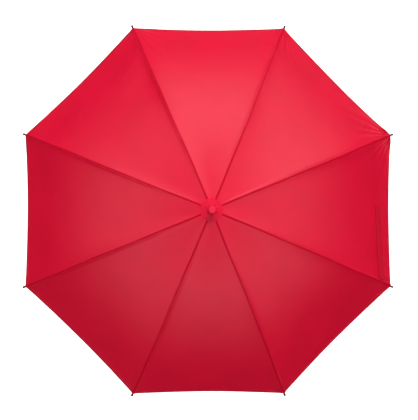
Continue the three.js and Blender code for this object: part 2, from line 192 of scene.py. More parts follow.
def closed_sheet(name, middle, normals, thickness, material, uvs, sharp=50):
    """A thin closed sheet over a grid of points, [rows, columns, 3]."""
    rows, columns = middle.shape[:2]
    count = rows * columns
    top = middle + normals * thickness / 2
    bottom = middle - normals * thickness / 2
    vertices = np.concatenate([top.reshape(-1, 3), bottom.reshape(-1, 3)])
    faces = []
    for r in range(rows - 1):
        for c in range(columns - 1):
            a = r * columns + c
            b = a + columns
            faces.append((a, b, b + 1, a + 1))
            faces.append((a + count, a + 1 + count, b + 1 + count, b + count))
    rim = [(c, c + 1) for c in range(columns - 1)]
    rim += [((r + 1) * columns - 1, (r + 2) * columns - 1) for r in range(rows - 1)]
    rim += [(count - 1 - c, count - 2 - c) for c in range(columns - 1)]
    rim += [((rows - 1 - r) * columns, (rows - 2 - r) * columns) for r in range(rows - 1)]
    faces += [(a, b, b + count, a + count) for a, b in rim]
    doubled = {k: np.concatenate([v.reshape(-1, 2)] * 2) for k, v in uvs.items()}
    return make_object(name, vertices, faces, material, doubled, sharp)


def grid_normals(points):
    """Unit normals of a grid of points, pointing to the side that closed_sheet calls the top."""
    down = np.gradient(points, axis=0)
    across = np.gradient(points, axis=1)
    n = np.cross(down, across)
    return n / np.linalg.norm(n, axis=-1, keepdims=True)


STITCH_SIDES = 5


def stitches(name, centres, along, up, material, length=2.3 * MM, thick=0.3 * MM):
    """A run of thread stitches: one small tapered bar at each centre, of STITCH_VERTICES each."""
    sides = STITCH_SIDES
    sink = thick * 0.8  # the bar's ends go down into the cloth
    vertices, faces = [], []
    for c, a, u in zip(centres, along, up):
        a = a / np.linalg.norm(a)
        side = np.cross(a, u)
        side = side / np.linalg.norm(side)
        lift = np.cross(side, a)
        base = len(vertices)
        vertices.append(c - a * length / 2 - lift * sink)
        for share in (-0.3, 0.3):
            for k in range(sides):
                turn = 2 * math.pi * k / sides
                ring = side * math.cos(turn) + lift * math.sin(turn)
                vertices.append(c + a * length * share + ring * thick)
        vertices.append(c + a * length / 2 - lift * sink)
        for k in range(sides):
            m = (k + 1) % sides
            faces.append((base, base + 1 + m, base + 1 + k))
            faces.append((base + 1 + k, base + 1 + m, base + 1 + sides + m, base + 1 + sides + k))
            faces.append((base + 1 + sides + k, base + 1 + sides + m, base + 1 + 2 * sides))
    return make_object(name, vertices, faces, material, sharp=80)


# ---- Materials ----
def new_material(name):
    material = bpy.data.materials.new(name)
    material.use_nodes = True
    nodes = material.node_tree.nodes
    return material, nodes, material.node_tree.links, nodes["Principled BSDF"]


def math_node(nodes, links, operation, *inputs):
    node = nodes.new("ShaderNodeMath")
    node.operation = operation
    for k, value in enumerate(inputs):
        if isinstance(value, (int, float)):
            node.inputs[k].default_value = value
        else:
            links.new(value, node.inputs[k])
    return node.outputs[0]


def noise(nodes, links, vector, scale, detail=3.0, rough=0.5):
    node = nodes.new("ShaderNodeTexNoise")
    node.inputs["Scale"].default_value = scale
    node.inputs["Detail"].default_value = detail
    node.inputs["Roughness"].default_value = rough
    links.new(vector, node.inputs["Vector"])
    return node.outputs["Fac"]


def ramp(nodes, links, value, low, high, low_to, high_to):
    """A smooth step from low_to to high_to as value goes from low to high."""
    node = nodes.new("ShaderNodeMapRange")
    node.interpolation_type = "SMOOTHSTEP"
    ends = {"From Min": low, "From Max": high, "To Min": low_to, "To Max": high_to}
    for socket, number in ends.items():
        node.inputs[socket].default_value = number
    links.new(value, node.inputs["Value"])
    return node.outputs["Result"]


def mix_colour(nodes, links, factor, a, b):
    node = nodes.new("ShaderNodeMix")
    node.data_type = "RGBA"
    for socket, value in ((node.inputs[0], factor), (node.inputs[6], a), (node.inputs[7], b)):
        if isinstance(value, (int, float)):
            socket.default_value = value
        elif isinstance(value, tuple):
            socket.default_value = (*value, 1)
        else:
            links.new(value, socket)
    return node.outputs[2]


def bump(nodes, links, height, distance, strength=1.0, normal=None):
    node = nodes.new("ShaderNodeBump")
    node.inputs["Distance"].default_value = distance
    node.inputs["Strength"].default_value = strength
    links.new(height, node.inputs["Height"])
    if normal is not None:
        links.new(normal, node.inputs["Normal"])
    return node.outputs["Normal"]


def uv_axes(nodes, links, layer):
    node = nodes.new("ShaderNodeUVMap")
    node.uv_map = layer
    parts = nodes.new("ShaderNodeSeparateXYZ")
    links.new(node.outputs["UV"], parts.inputs[0])
    return node.outputs["UV"], parts.outputs["X"], parts.outputs["Y"]


CLOTH_RED = (0.70, 0.0016, 0.031)
CLOTH_DEEP = (0.52, 0.0008, 0.020)  # the deepest tone in any cloth's mottle
# painted shade: the darker red that stands in for the shade in each seam's groove and at the step where the hem's
# fold ends
LINE_SHADE_RED = (0.50, 0.0, 0.016)
EDGE_SHADE_RED = (0.24, 0.0, 0.010)  # painted shade on the hem's rolled-under edge, which faces away from the light
# painted shade: the strap's cloth is a darker copy of the canopy's red, standing in for the shade the folded strap
# lies in
STRAP_SHADE_RED = (0.56, 0.0, 0.021)
TRIM_RED = (0.72, 0.001, 0.034)
CLOTH_PITCH = 0.9 * MM  # the weave's visible rib
CLOTH_ROUGHNESS = 0.31
CLOTH_SPECULAR = 0.35
TRANSLUCENCY = 0.14  # share of the light that comes through
SHADE_GLOSS = (0.14, 0.14, 0.14)  # tint that dims the gloss where shade is painted along seams, the hem's fold and its rolled edge
SEAM_SHADE_REACH = (1.4 * MM, 4.6 * MM)  # distances from a seam over which its painted groove shade fades
SEAM_SHADE_FAINT = (50 * MM, 300 * MM)  # distances from the hem over which that painted shade gains its full tone
FOLD_SHADE_REACH = (0.4 * MM, 1.8 * MM)  # the same for the painted shade along the step where the hem's fold ends
EDGE_SHADE_REACH = (2.6 * MM, 6.0 * MM)  # the same for the painted shade on the hem's rolled-under edge


def cloth_material(name, base, edged=False):
    """Plain-woven polyester.

    The weave layer is in metres. The edge layer, on the canopy only, holds the distances to seam and hem, which
    place the painted shade along the seams, the hem's fold and its rolled edge.
    """
    material, nodes, links, shader = new_material(name)
    weave_uv, u, v = uv_axes(nodes, links, "weave")
    turns = 2 * math.pi / CLOTH_PITCH
    warp = math_node(nodes, links, "SINE", math_node(nodes, links, "MULTIPLY", u, turns))
    weft = math_node(nodes, links, "SINE", math_node(nodes, links, "MULTIPLY", v, turns))
    weave = math_node(nodes, links, "MULTIPLY", warp, weft)
    mottle = noise(nodes, links, weave_uv, 9, 4)
    slub = noise(nodes, links, weave_uv, 160, 2)
    dents = noise(nodes, links, weave_uv, 42, 3)
    tone = math_node(nodes, links, "ADD", math_node(nodes, links, "MULTIPLY", mottle, 0.7),
                     math_node(nodes, links, "MULTIPLY", slub, 0.3))
    colour = mix_colour(nodes, links, ramp(nodes, links, tone, 0.36, 0.68, 0.0, 0.28),
                        base, CLOTH_DEEP)
    if edged:
        _, seam, hem = uv_axes(nodes, links, "edge")
        # line is painted shade in each seam's groove, a little fainter towards the hem.
        line = math_node(nodes, links, "MULTIPLY", ramp(nodes, links, seam, *SEAM_SHADE_REACH, 1.0, 0.0),
                         ramp(nodes, links, hem, *SEAM_SHADE_FAINT, 0.8, 1.0))
        # fold is painted shade along the step where the hem's fold ends.
        from_fold = math_node(nodes, links, "ABSOLUTE", math_node(nodes, links, "SUBTRACT", hem, HEM_FOLD))
        fold = ramp(nodes, links, from_fold, *FOLD_SHADE_REACH, 0.55, 0.0)
        # rim is painted shade on the hem's rolled-under edge.
        rim = ramp(nodes, links, hem, *EDGE_SHADE_REACH, 1.0, 0.0)
        seam_and_fold_shade = math_node(nodes, links, "MAXIMUM", line, fold)
        colour = mix_colour(nodes, links, seam_and_fold_shade, colour, LINE_SHADE_RED)
        colour = mix_colour(nodes, links, rim, colour, EDGE_SHADE_RED)
        # The gloss is dimmed wherever shade is painted, so that the painted shade stays dark.
        painted_shade = math_node(nodes, links, "MAXIMUM", line, math_node(nodes, links, "MAXIMUM", fold, rim))
        gloss = mix_colour(nodes, links, painted_shade, (1.0, 1.0, 1.0), SHADE_GLOSS)
        links.new(gloss, shader.inputs["Specular Tint"])
    shader.inputs["Specular IOR Level"].default_value = CLOTH_SPECULAR if edged else 0.7 * CLOTH_SPECULAR
    shader.inputs["Roughness"].default_value = CLOTH_ROUGHNESS if edged else 1.5 * CLOTH_ROUGHNESS
    links.new(colour, shader.inputs["Base Color"])
    normal = bump(nodes, links, weave, 0.05 * MM, 0.5)
    normal = bump(nodes, links, slub, 0.12 * MM, 0.35, normal)
    normal = bump(nodes, links, dents, 0.7 * MM, 0.4, normal)
    links.new(normal, shader.inputs["Normal"])
    glow = nodes.new("ShaderNodeBsdfTranslucent")
    links.new(colour, glow.inputs["Color"])
    mixed = nodes.new("ShaderNodeMixShader")
    mixed.inputs[0].default_value = TRANSLUCENCY
    links.new(shader.outputs[0], mixed.inputs[1])
    links.new(glow.outputs[0], mixed.inputs[2])
    links.new(mixed.outputs[0], nodes["Material Output"].inputs["Surface"])
    return material


def plain_material(name, colour, roughness, metallic=0.0, variation=0.12, grain=900, depth=0.02,
                   scratch=0.0, specular=0.5):
    """A moulded, lacquered or plated surface: object coordinates drive its tone, gloss and fine grain.

    depth is the grain's, in millimetres.
    """
    material, nodes, links, shader = new_material(name)
    place = nodes.new("ShaderNodeTexCoord").outputs["Object"]
    broad = noise(nodes, links, place, 35, 4)
    fine = noise(nodes, links, place, grain, 3, 0.6)
    deep = tuple(c * (1 - 2.2 * variation) for c in colour)
    links.new(mix_colour(nodes, links, ramp(nodes, links, broad, 0.3, 0.7, 0, 1), colour, deep),
              shader.inputs["Base Color"])
    gloss = math_node(nodes, links, "ADD", math_node(nodes, links, "MULTIPLY", broad, 0.10),
                      math_node(nodes, links, "MULTIPLY", fine, 0.08 + scratch))
    links.new(math_node(nodes, links, "ADD", gloss, roughness - 0.09), shader.inputs["Roughness"])
    shader.inputs["Metallic"].default_value = metallic
    shader.inputs["Specular IOR Level"].default_value = specular
    links.new(bump(nodes, links, fine, depth * MM, 0.6), shader.inputs["Normal"])
    return material


FOAM_BLACK = (0.028, 0.028, 0.030)
FOAM_DEEP = (0.018, 0.018, 0.020)


def grip_material():
    """Closed-cell foam rubber: fine pits and a soft dusty tone."""
    material, nodes, links, shader = new_material("grip_foam")
    place = nodes.new("ShaderNodeTexCoord").outputs["Object"]
    cells = nodes.new("ShaderNodeTexVoronoi")
    cells.inputs["Scale"].default_value = 900
    links.new(place, cells.inputs["Vector"])
    broad = noise(nodes, links, place, 40, 4)
    colour = mix_colour(nodes, links, ramp(nodes, links, broad, 0.3, 0.7, 0, 1), FOAM_BLACK, FOAM_DEEP)
    links.new(colour, shader.inputs["Base Color"])
    shader.inputs["Roughness"].default_value = 0.82
    shader.inputs["Sheen Weight"].default_value = 0.15
    normal = bump(nodes, links, cells.outputs["Distance"], 0.12 * MM, 0.5)
    links.new(bump(nodes, links, broad, 0.2 * MM, 0.3, normal), shader.inputs["Normal"])
    return material


cloth = cloth_material("canopy_cloth", CLOTH_RED, edged=True)
trim_cloth = cloth_material("trim_cloth", TRIM_RED)
# Painted shade: a darker copy of the canopy cloth, for the shade of the folded strap.
shaded_strap_cloth = cloth_material("shaded_strap_cloth", STRAP_SHADE_RED)
thread = plain_material("red_thread", (0.66, 0.004, 0.03), 0.75, grain=2500)
ferrule_plastic = plain_material("ferrule_plastic", (0.74, 0.012, 0.045), 0.42, variation=0.05,
                                 depth=0.01, specular=0.3)
tip_plastic = plain_material("tip_plastic", (0.034, 0.006, 0.008), 0.6, specular=0.2)
lacquer = plain_material("black_lacquer", (0.016, 0.016, 0.018), 0.34, depth=0.015)
zinc = plain_material("zinc_plate", (0.62, 0.63, 0.65), 0.30, metallic=1.0, scratch=0.12)
nylon = plain_material("black_nylon", (0.02, 0.02, 0.022), 0.48, grain=1400, depth=0.03)
foam = grip_material()


# ---- Canopy ----
EDGE_STEPS = np.array([0, 0.7, 1.4, 2.2, 3.4, 5.6, 8.0, 9.2, 12, 15, 18.5, 22, 26, 30.5, 36,
                       42, 50, 60]) * MM  # the grid's columns beside a seam
INNER_COLUMNS = 17
HEM_ROWS = np.array([108, 98, 89, 81, 73, 66, 59, 52, 46, 40, 34, 28.5, 23.5, 19, 15.5, 12,
                     10, 9.4, 8.6, 7.5, 5, 3, 1.4, 0.6, 0]) * MM  # the grid's rows above the hem
BODY_ROWS = 50
SEAM_DEPTH = 1.0 * MM  # the groove along each seam
SEAM_REACH = 1.5 * MM
ALLOWANCE = 8 * MM  # seam allowance folded under one side of each seam
ALLOWANCE_RISE = 0.7 * MM
ALLOWANCE_STEP = 1.2 * MM  # it starts this far from the seam, and rises over as much again
RIDGE_DROP = 2.6 * MM  # the cloth falls off this much more beside each rib, over RIDGE_REACH
RIDGE_REACH = 17 * MM
RIDGE_SHARE = (1.5, 0.8, 1.2, 1.3, 0.9, 0.7, 0.7, 1.0)  # no two seams pull alike
HOLLOW_GORE = 2  # it has a slack hollow beside the seam over rib_3, between two ties
HOLLOW_DROP = 6 * MM
HOLLOW_AT, HOLLOW_SPREAD = 0.70, 0.10  # shares of the rib
HOLLOW_START, HOLLOW_FADE = 12 * MM, 60 * MM  # distances from the seam
TIE_REACH = 12 * MM
DIMPLE_DEPTH = 0.8 * MM  # each tie pulls the cloth down this far
DIMPLE_REACH = 11 * MM
PULL_DEPTH = 1.6 * MM  # creases that fan out from each corner
PULL_REACH = 48 * MM
PULL_SHARE = (3.0, 0.8, 0.9, 0.7, 0.8, 0.6, 0.8, 1.1)
BREATH_DEPTH = 0.9 * MM  # slow unevenness of a whole panel
FOLD_RISE = 0.45 * MM  # the hem's folded layers stand this far up
FOLD_STEP = 0.8 * MM
ROLL_DROP = 1.7 * MM  # the hem's edge rolls down this far
ROLL_REACH = 1.9 * MM


def tie_bump(s):
    """1 at each thread tie along a rib, fading over TIE_REACH."""
    return sum(bell(s - share * RIB_LENGTH, TIE_REACH) for share in TIES)


def seam_wander(i, s):
    """Sideways drift of the seam off its rib: it runs true at the ties, and a little off between them."""
    phase = 1.7 * (i % RIBS)
    drift = 0.9 * MM * np.sin(s / (95 * MM) + phase) + 0.5 * MM * np.sin(s / (41 * MM) + 2 * phase)
    ends = smooth((s - CLOTH_FROM_S) / (60 * MM)) * smooth((CORNER_S - s) / (60 * MM))
    return drift * ends * (1 - 0.9 * np.clip(tie_bump(s), 0, 1))


def gore_rows():
    """Shares of the way from crown to hem, closer together near the hem."""
    body = np.linspace(0, 1 - HEM_ROWS[0] / GORE_LENGTH, BODY_ROWS)[:-1]
    return np.concatenate([body, 1 - HEM_ROWS / GORE_LENGTH])


def gore_width(s):
    """Distance between a gore's two seams at s along its ribs."""
    return 2 * rib_point(s, CLOTH_RISE)[0] * math.sin(RIB_STEP / 2)


def seam_allowance(from_seam):
    """1 over the folded allowance beside a seam, 0 elsewhere."""
    start = smooth((from_seam - ALLOWANCE_STEP) / ALLOWANCE_STEP)
    return start * smooth((ALLOWANCE + 1 * MM - from_seam) / (1.4 * MM))


def ridge_fall(i, s, w, from_left, from_right):
    """How far gore i drops away from the ridges over its two ribs, beyond its even sag."""
    ends = smooth((s - CLOTH_FROM_S) / (80 * MM)) * smooth((CORNER_S + 20 * MM - s) / (90 * MM))
    share = RIDGE_SHARE[i] * (1 - w) + RIDGE_SHARE[(i + 1) % RIBS] * w
    off_ribs = (1 - np.exp(-from_left / RIDGE_REACH)) * (1 - np.exp(-from_right / RIDGE_REACH))
    return RIDGE_DROP * share * off_ribs * ends


def hollow(s, from_seam):
    slack = bell(s / RIB_LENGTH - HOLLOW_AT, HOLLOW_SPREAD)
    return HOLLOW_DROP * slack * (1 - np.exp(-from_seam / HOLLOW_START)) * np.exp(-from_seam / HOLLOW_FADE)


def tie_dimple(s, from_seam):
    dimple = bell(from_seam, DIMPLE_REACH) * tie_bump(s)
    return DIMPLE_DEPTH * dimple * smooth(from_seam / (2 * MM))


def corner_creases(rib, s, from_seam):
    """Creases that fan out from the corner at a rib's end, clear of the seam itself."""
    rib = rib % RIBS
    from_corner = np.sqrt((CORNER_S - s) ** 2 + from_seam**2) + 1e-6
    angle = np.arctan2(from_seam, CORNER_S - s)
    pull = np.exp(-from_corner / PULL_REACH) * smooth(from_corner / (26 * MM))
    pull = pull * smooth((from_seam - 3 * MM) / (9 * MM))
    fan = np.sin(19 * angle + 1.3 * rib) + 0.5 * np.sin(31 * angle + 2.1 * rib)
    return PULL_DEPTH * PULL_SHARE[rib] * pull * fan


def breath(i, s, w):
    """The panel's slow unevenness, nothing at its seams."""
    waves = np.sin(s / (130 * MM) + 1.1 * i) * np.sin(2 * math.pi * w + 0.9 * i)
    waves = waves + 0.6 * np.sin(s / (74 * MM) + 2.3 * i)
    return BREATH_DEPTH * waves * 4 * w * (1 - w)


def gore_surface(i, t, w, lift=0.0):
    """Points and normals of gore i, with its weave and edge layers.

    t runs from crown to hem and w from rib i to the next. The normals are square to the ribs.
    """
    bow = (HEM_BOW / math.cos(RIM_SLOPE)) * 4 * w * (1 - w)
    s = CLOTH_FROM_S + (CORNER_S - bow - CLOTH_FROM_S) * t
    r, z = rib_point(s, CLOTH_RISE)
    width = gore_width(s)
    left, right = rib_azimuth(i), rib_azimuth(i + 1)
    flat = r[..., None] * ((1 - w)[..., None] * radial(left) + w[..., None] * radial(right))
    outward = flat / np.linalg.norm(flat, axis=-1, keepdims=True)
    slope = CROWN_SLOPE + s / BEND_R
    normal = outward * np.sin(slope)[..., None]
    normal[..., 2] = np.cos(slope)
    from_left, from_right = w * width, (1 - w) * width
    seams = ((i, from_left), (i + 1, from_right))
    hem = (1 - t) * GORE_LENGTH
    room = smooth(width / (60 * MM))  # the relief fades where the gore is narrow

    height = -SEAM_DEPTH * (bell(from_left, SEAM_REACH) + bell(from_right, SEAM_REACH))
    height = height + ALLOWANCE_RISE * seam_allowance(from_left) * room
    height = height - ridge_fall(i, s, w, from_left, from_right)
    if i == HOLLOW_GORE:
        height = height - hollow(s, from_left)
    for rib, from_seam in seams:
        height = height - tie_dimple(s, from_seam) * room
        height = height + corner_creases(rib, s, from_seam)
    height = height + breath(i, s, w) * room
    height = height + FOLD_RISE * smooth((HEM_FOLD - hem) / FOLD_STEP) - ROLL_DROP * bell(hem, ROLL_REACH)

    point = flat.copy()
    point[..., 2] = z - SAG * width * 4 * w * (1 - w)
    point = point + normal * (height + lift)[..., None]
    for rib, from_seam in seams:
        shift = seam_wander(rib, s) * np.exp(-from_seam / (25 * MM))
        point = point + shift[..., None] * tangent(rib_azimuth(rib))
    weave = np.stack([(w - 0.5) * width, s], axis=-1)
    edges = np.stack([np.minimum(from_left, from_right), hem], axis=-1)
    return point, normal, weave, edges


def gore_grid():
    """The (t, w) of every grid point of a gore."""
    t = gore_rows()
    width = gore_width(CLOTH_FROM_S + GORE_LENGTH * t)
    squeeze = np.minimum(1, 0.4 * width / EDGE_STEPS[-1])
    first = squeeze[:, None] * EDGE_STEPS / width[:, None]
    share = np.linspace(0, 1, INNER_COLUMNS + 2)[1:-1]
    middle = first[:, -1:] + (1 - 2 * first[:, -1:]) * share
    w = np.concatenate([first, middle, 1 - first[:, ::-1]], axis=1)
    return np.repeat(t[:, None], w.shape[1], axis=1), w


def gather(obj):
    """Bake obj's placement into its mesh.
    """
    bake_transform(obj)


def gore(i):
    t, w = gore_grid()
    points, normals, weave, edges = gore_surface(i, t, w)
    layers = {"weave": weave, "edge": edges}
    obj = closed_sheet(f"canopy_gore_{i + 1}", points, normals, CLOTH_THICK, cloth, layers)
    gather(obj)
    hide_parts(f"gore_{i + 1}")


STITCH_PITCH = 3.4 * MM
STITCH_LIFT = CLOTH_THICK / 2 + 0.12 * MM


def sew(name, i, t, w, lift=STITCH_LIFT):
    """A run of stitches on gore i through the points (t, w)."""
    centres, up, _, _ = gore_surface(i, t, w, lift=lift)
    obj = stitches(name, centres, np.gradient(centres, axis=0), up, thread)
    gather(obj)


def hem_stitches(i):
    """The row of stitches that holds the hem's fold."""
    count = int(GORE_WIDTH * 0.965 / STITCH_PITCH)
    w = np.linspace(0.018, 0.982, count)
    t = np.full(count, 1 - (HEM_FOLD - 1.6 * MM) / GORE_LENGTH)
    sew(f"hem_stitches_{i + 1}", i, t, w)


def seam_stitches(i):
    """The topstitching beside the seam over rib i, from the rosette to near the corner."""
    first = 42 * MM - PIVOT_R
    count = int((CORNER_S - 10 * MM - first) / STITCH_PITCH)
    s = first + STITCH_PITCH * np.arange(count)
    t = (s - CLOTH_FROM_S) / GORE_LENGTH
    w = 4.6 * MM / gore_width(s)
    sew(f"seam_stitches_{i + 1}", i, t, w)


for rib in range(RIBS):
    gore(rib)
    hem_stitches(rib)
    seam_stitches(rib)


# ---- Rosette: a gathered round of the same cloth under the ferrule ----
ROSETTE_INNER_R = 9.6 * MM
ROSETTE_THICK = 0.7 * MM
COLLAR_RISE = 5.8 * MM  # the cloth climbs the foot of the ferrule this far, over COLLAR_REACH
COLLAR_REACH = 4.2 * MM
GATHER_RISE = 1.1 * MM  # the gathers stand highest GATHER_FROM outside the inner edge
GATHER_FROM = 7 * MM
GATHER_REACH = 6 * MM
EDGE_WAVE = 0.9 * MM  # waviness of the outer edge


def rosette():
    _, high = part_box("rosette")
    outer = high.x
    inner = ROSETTE_INNER_R
    rings, segments = 36, 224
    spread = np.linspace(0, 1, rings) ** 1.3
    radius = (inner + (outer - inner) * spread)[:, None] * np.ones(segments + 1)
    angle = np.ones((rings, 1)) * np.linspace(0, 2 * math.pi, segments + 1)
    edge_z = rib_point(rib_length_at(outer), CLOTH_RISE + 0.8 * MM)[1]
    share = (radius - inner) / (outer - inner)
    crown = high.z - 0.6 * MM
    z = crown + (edge_z - crown) * share**1.2
    z = z + COLLAR_RISE * np.exp(-(((radius - inner) / COLLAR_REACH) ** 1.3))
    gathers = np.cos(RIBS * (angle - FIRST_RIB)) * 0.5 + 0.5 * np.sin(19 * angle + 0.6)
    gathers = gathers + 0.35 * np.sin(31 * angle)
    z = z + GATHER_RISE * (0.7 + gathers) * bell(radius - inner - GATHER_FROM, GATHER_REACH)
    waves = np.sin(13 * angle + 1) + 0.6 * np.sin(5 * angle)
    radius = radius + EDGE_WAVE * waves * smooth(share * 2 - 1)
    points = np.stack([radius * np.cos(angle), radius * np.sin(angle), z], axis=-1)
    points[:, -1] = points[:, 0]
    weave = points[..., :2].copy()
    normals = -grid_normals(points)
    normals[:, 0] = normals[:, -1] = normals[:, 0] + normals[:, -1]
    normals /= np.linalg.norm(normals, axis=-1, keepdims=True)
    if normals[0, 0, 2] < 0:
        normals = -normals
    obj = closed_ring("crown_rosette", points[:, :-1], normals[:, :-1], ROSETTE_THICK, weave[:, :-1])
    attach(obj, "shaft")
    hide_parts("rosette")


def closed_ring(name, points, normals, thickness, weave):
    """A thin closed washer over a grid whose columns run right round."""
    rings, segments = points.shape[:2]
    count = rings * segments
    vertices = np.concatenate([(points + normals * thickness / 2).reshape(-1, 3),
                               (points - normals * thickness / 2).reshape(-1, 3)])
    faces = []
    for r in range(rings - 1):
        for c in range(segments):
            a, b = r * segments + c, r * segments + (c + 1) % segments
            faces.append((a, a + segments, b + segments, b))
            faces.append((a + count, b + count, b + segments + count, a + segments + count))
    for c in range(segments):
        a, b = c, (c + 1) % segments
        faces.append((a, b, b + count, a + count))
        a, b = a + count - segments, b + count - segments
        faces.append((b, a, a + count, b + count))
    uv = weave.reshape(-1, 2)
    return make_object(name, vertices, faces, trim_cloth, {"weave": np.concatenate([uv, uv])})


rosette()


# ---- Ferrule ----
SHAFT_BORE_R = 7.3 * MM  # clears the shaft
DISH_R = 7 * MM  # the hollow in the ferrule's flat top
DISH_DEPTH = 0.7 * MM
ROOF_GAP = 0.3 * MM  # from the shaft's end to the hollow's roof


def ferrule():
    low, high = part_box("ferrule")
    base, top = low.z, high.z
    bore = SHAFT_BORE_R
    corner = 3.4 * MM
    outline = [(bore, base), (10.9 * MM, base), (11.2 * MM, base + 0.4 * MM), (11.2 * MM, base + 2.4 * MM),
               (10.9 * MM, base + 2.9 * MM), (9.4 * MM, base + 4.2 * MM), (9.1 * MM, base + 7 * MM),
               (9.4 * MM, base + 20 * MM), (10.3 * MM, top - 14 * MM), (11.1 * MM, top - 9 * MM)]
    outline += arc_points(7.8 * MM, top - corner, corner, corner, 0, 90, 10)
    for r in np.linspace(DISH_R, 0, 8):
        outline.append((r, top - DISH_DEPTH * (0.5 + 0.5 * math.cos(math.pi * r / DISH_R))))
    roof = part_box("shaft_tube")[1].z + ROOF_GAP
    outline += [(0, roof), (bore, roof), (bore, base)]
    obj = lathe("ferrule_cap", outline, ferrule_plastic, 72)
    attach(obj, "shaft")
    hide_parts("ferrule")


ferrule()


# ---- Closing strap, laid along the hem of the panel over rib_8 ----
STRAP_INSET = 33 * MM  # from the hem to its nearer edge, at the sewn end
STRAP_WIDTH = 23 * MM
STRAP_THICK = 1.3 * MM
STRAP_DRIFT = 10 * MM  # the free end lies this much further from the hem
STRAP_LIFT = 1.9 * MM
STRAP_SPAN = (0.02, 0.54)  # from the seam, as shares of the way to the next
STRAP_ROWS = np.array([0, 0.6, 1.6, 2.6, 4, 8, 11.5, 15, 19, 20.4, 21.4, 22.4, 23]) * MM
STRAP_HEM = 2.6 * MM  # from its edges to its lines of stitches
STRAP_SEWN = (0.03, 0.525)  # where those lines run
STRAP_PITCH = 3.2 * MM


def strap_share(w):
    """How far along the strap a point w of the way across its panel lies."""
    return (w - STRAP_SPAN[0]) / (STRAP_SPAN[1] - STRAP_SPAN[0])


def strap():
    i = RIBS - 1
    columns = np.linspace(*STRAP_SPAN, 90)
    depth = (STRAP_INSET + STRAP_WIDTH - STRAP_ROWS)[:, None] + STRAP_DRIFT * strap_share(columns)
    t = 1 - depth / GORE_LENGTH
    w = np.repeat(columns[None, :], len(STRAP_ROWS), axis=0)
    across = STRAP_ROWS[:, None] * np.ones(len(columns))
    along = (w - columns[0]) * GORE_WIDTH
    from_edge = np.minimum(across, STRAP_WIDTH - across)
    swell = 0.35 * MM * smooth(from_edge / (1.6 * MM)) - 0.25 * MM * bell(from_edge - STRAP_HEM, 0.7 * MM)
    ripple = 0.35 * MM * np.sin(along / (17 * MM) + 0.5) * np.sin(across / (9 * MM) + 0.8)
    round_off = smooth((columns[-1] - w) * GORE_WIDTH / (7 * MM))
    squeeze = (across - STRAP_WIDTH / 2) * (1 - round_off) * 0.5
    t = t - squeeze / GORE_LENGTH
    points, normals, _, _ = gore_surface(i, t, w, lift=STRAP_LIFT + swell + 0.5 * ripple)
    weave = {"weave": np.stack([across, along], axis=-1)}
    obj = closed_sheet("closing_strap_band", points, normals, STRAP_THICK, shaded_strap_cloth, weave)
    gather(obj)
    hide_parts("closing_strap")
    length = float(along.max())
    for k, row in enumerate((STRAP_HEM, STRAP_WIDTH - STRAP_HEM)):
        line_w = np.linspace(*STRAP_SEWN, int(length / STRAP_PITCH))
        line_depth = STRAP_INSET + STRAP_WIDTH - row + STRAP_DRIFT * strap_share(line_w)
        sew(f"strap_stitches_{k + 1}", i, 1 - line_depth / GORE_LENGTH, line_w,
            lift=STRAP_LIFT + STRAP_THICK / 2 + 0.15 * MM)


strap()


# ---- Handle ----
GRIP_INNER_R = 9.8 * MM
GRIP_GROOVES = (-78 * MM, -73.5 * MM, 73.5 * MM, 78 * MM)  # heights of the moulded rings
GRIP_GROOVE_DEPTH = 0.5 * MM
COLLAR_R = 12.6 * MM
COLLAR_ROUND = 3.7 * MM
CAP_R = 16.4 * MM
CAP_ROUND = 1.8 * MM


def grip():
    low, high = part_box("handle_grip")
    spots = [(high.z, 13.0), (high.z - 3 * MM, 13.7), (70 * MM, 14.2), (30 * MM, 15.5), (-20 * MM, 16.9),
             (-60 * MM, 17.2), (-84 * MM, 16.8), (low.z, 16.2)]  # height, and radius in millimetres
    heights = np.array([z for z, _ in spots])[::-1]
    radii = np.array([r for _, r in spots])[::-1] * MM
    z = np.linspace(low.z, high.z, 181)
    outline = np.interp(z, heights, radii)
    outline = np.convolve(np.pad(outline, 6, mode="edge"), np.ones(13) / 13, mode="valid")
    for groove in GRIP_GROOVES:
        outline = outline - GRIP_GROOVE_DEPTH * bell(z - groove, 0.9 * MM)
    ends = np.minimum(z - low.z, high.z - z)
    outline = outline - 1.2 * MM * np.exp(-ends / (1.1 * MM))
    profile = [(GRIP_INNER_R, low.z)] + list(zip(outline, z))
    profile += [(GRIP_INNER_R, high.z), (GRIP_INNER_R, low.z)]
    obj = lathe("foam_grip", profile, foam, 72)
    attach(obj, "shaft")
    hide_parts("handle_grip")


def grip_collar():
    low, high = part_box("handle_collar")
    shoulder = low.z + 4 * MM
    profile = [(SHAFT_BORE_R, low.z), (COLLAR_R - 0.4 * MM, low.z), (COLLAR_R, low.z + 0.4 * MM),
               (COLLAR_R, shoulder)]
    profile += arc_points(COLLAR_R - COLLAR_ROUND, shoulder, COLLAR_ROUND, high.z - shoulder, 0, 90, 8)
    profile += [(SHAFT_BORE_R, high.z), (SHAFT_BORE_R, low.z)]
    obj = lathe("grip_collar", profile, nylon, 64)
    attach(obj, "shaft")
    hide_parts("handle_collar")


def grip_end_cap():
    low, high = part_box("handle_end_cap")
    rim = low.z + 4.7 * MM
    inside = CAP_R - CAP_ROUND
    profile = [(0, low.z), (inside, low.z)]
    profile += arc_points(inside, low.z + CAP_ROUND, CAP_ROUND, CAP_ROUND, -90, 0, 6)
    profile += [(CAP_R, rim - 0.4 * MM), (CAP_R - 0.4 * MM, rim), (6 * MM, rim),
                (5.4 * MM, high.z - 1 * MM), (4.6 * MM, high.z), (0, high.z)]
    obj = lathe("grip_end_cap", profile, nylon, 64)
    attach(obj, "shaft")
    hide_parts("handle_end_cap")


def handle():
    grip()
    grip_collar()
    grip_end_cap()


handle()


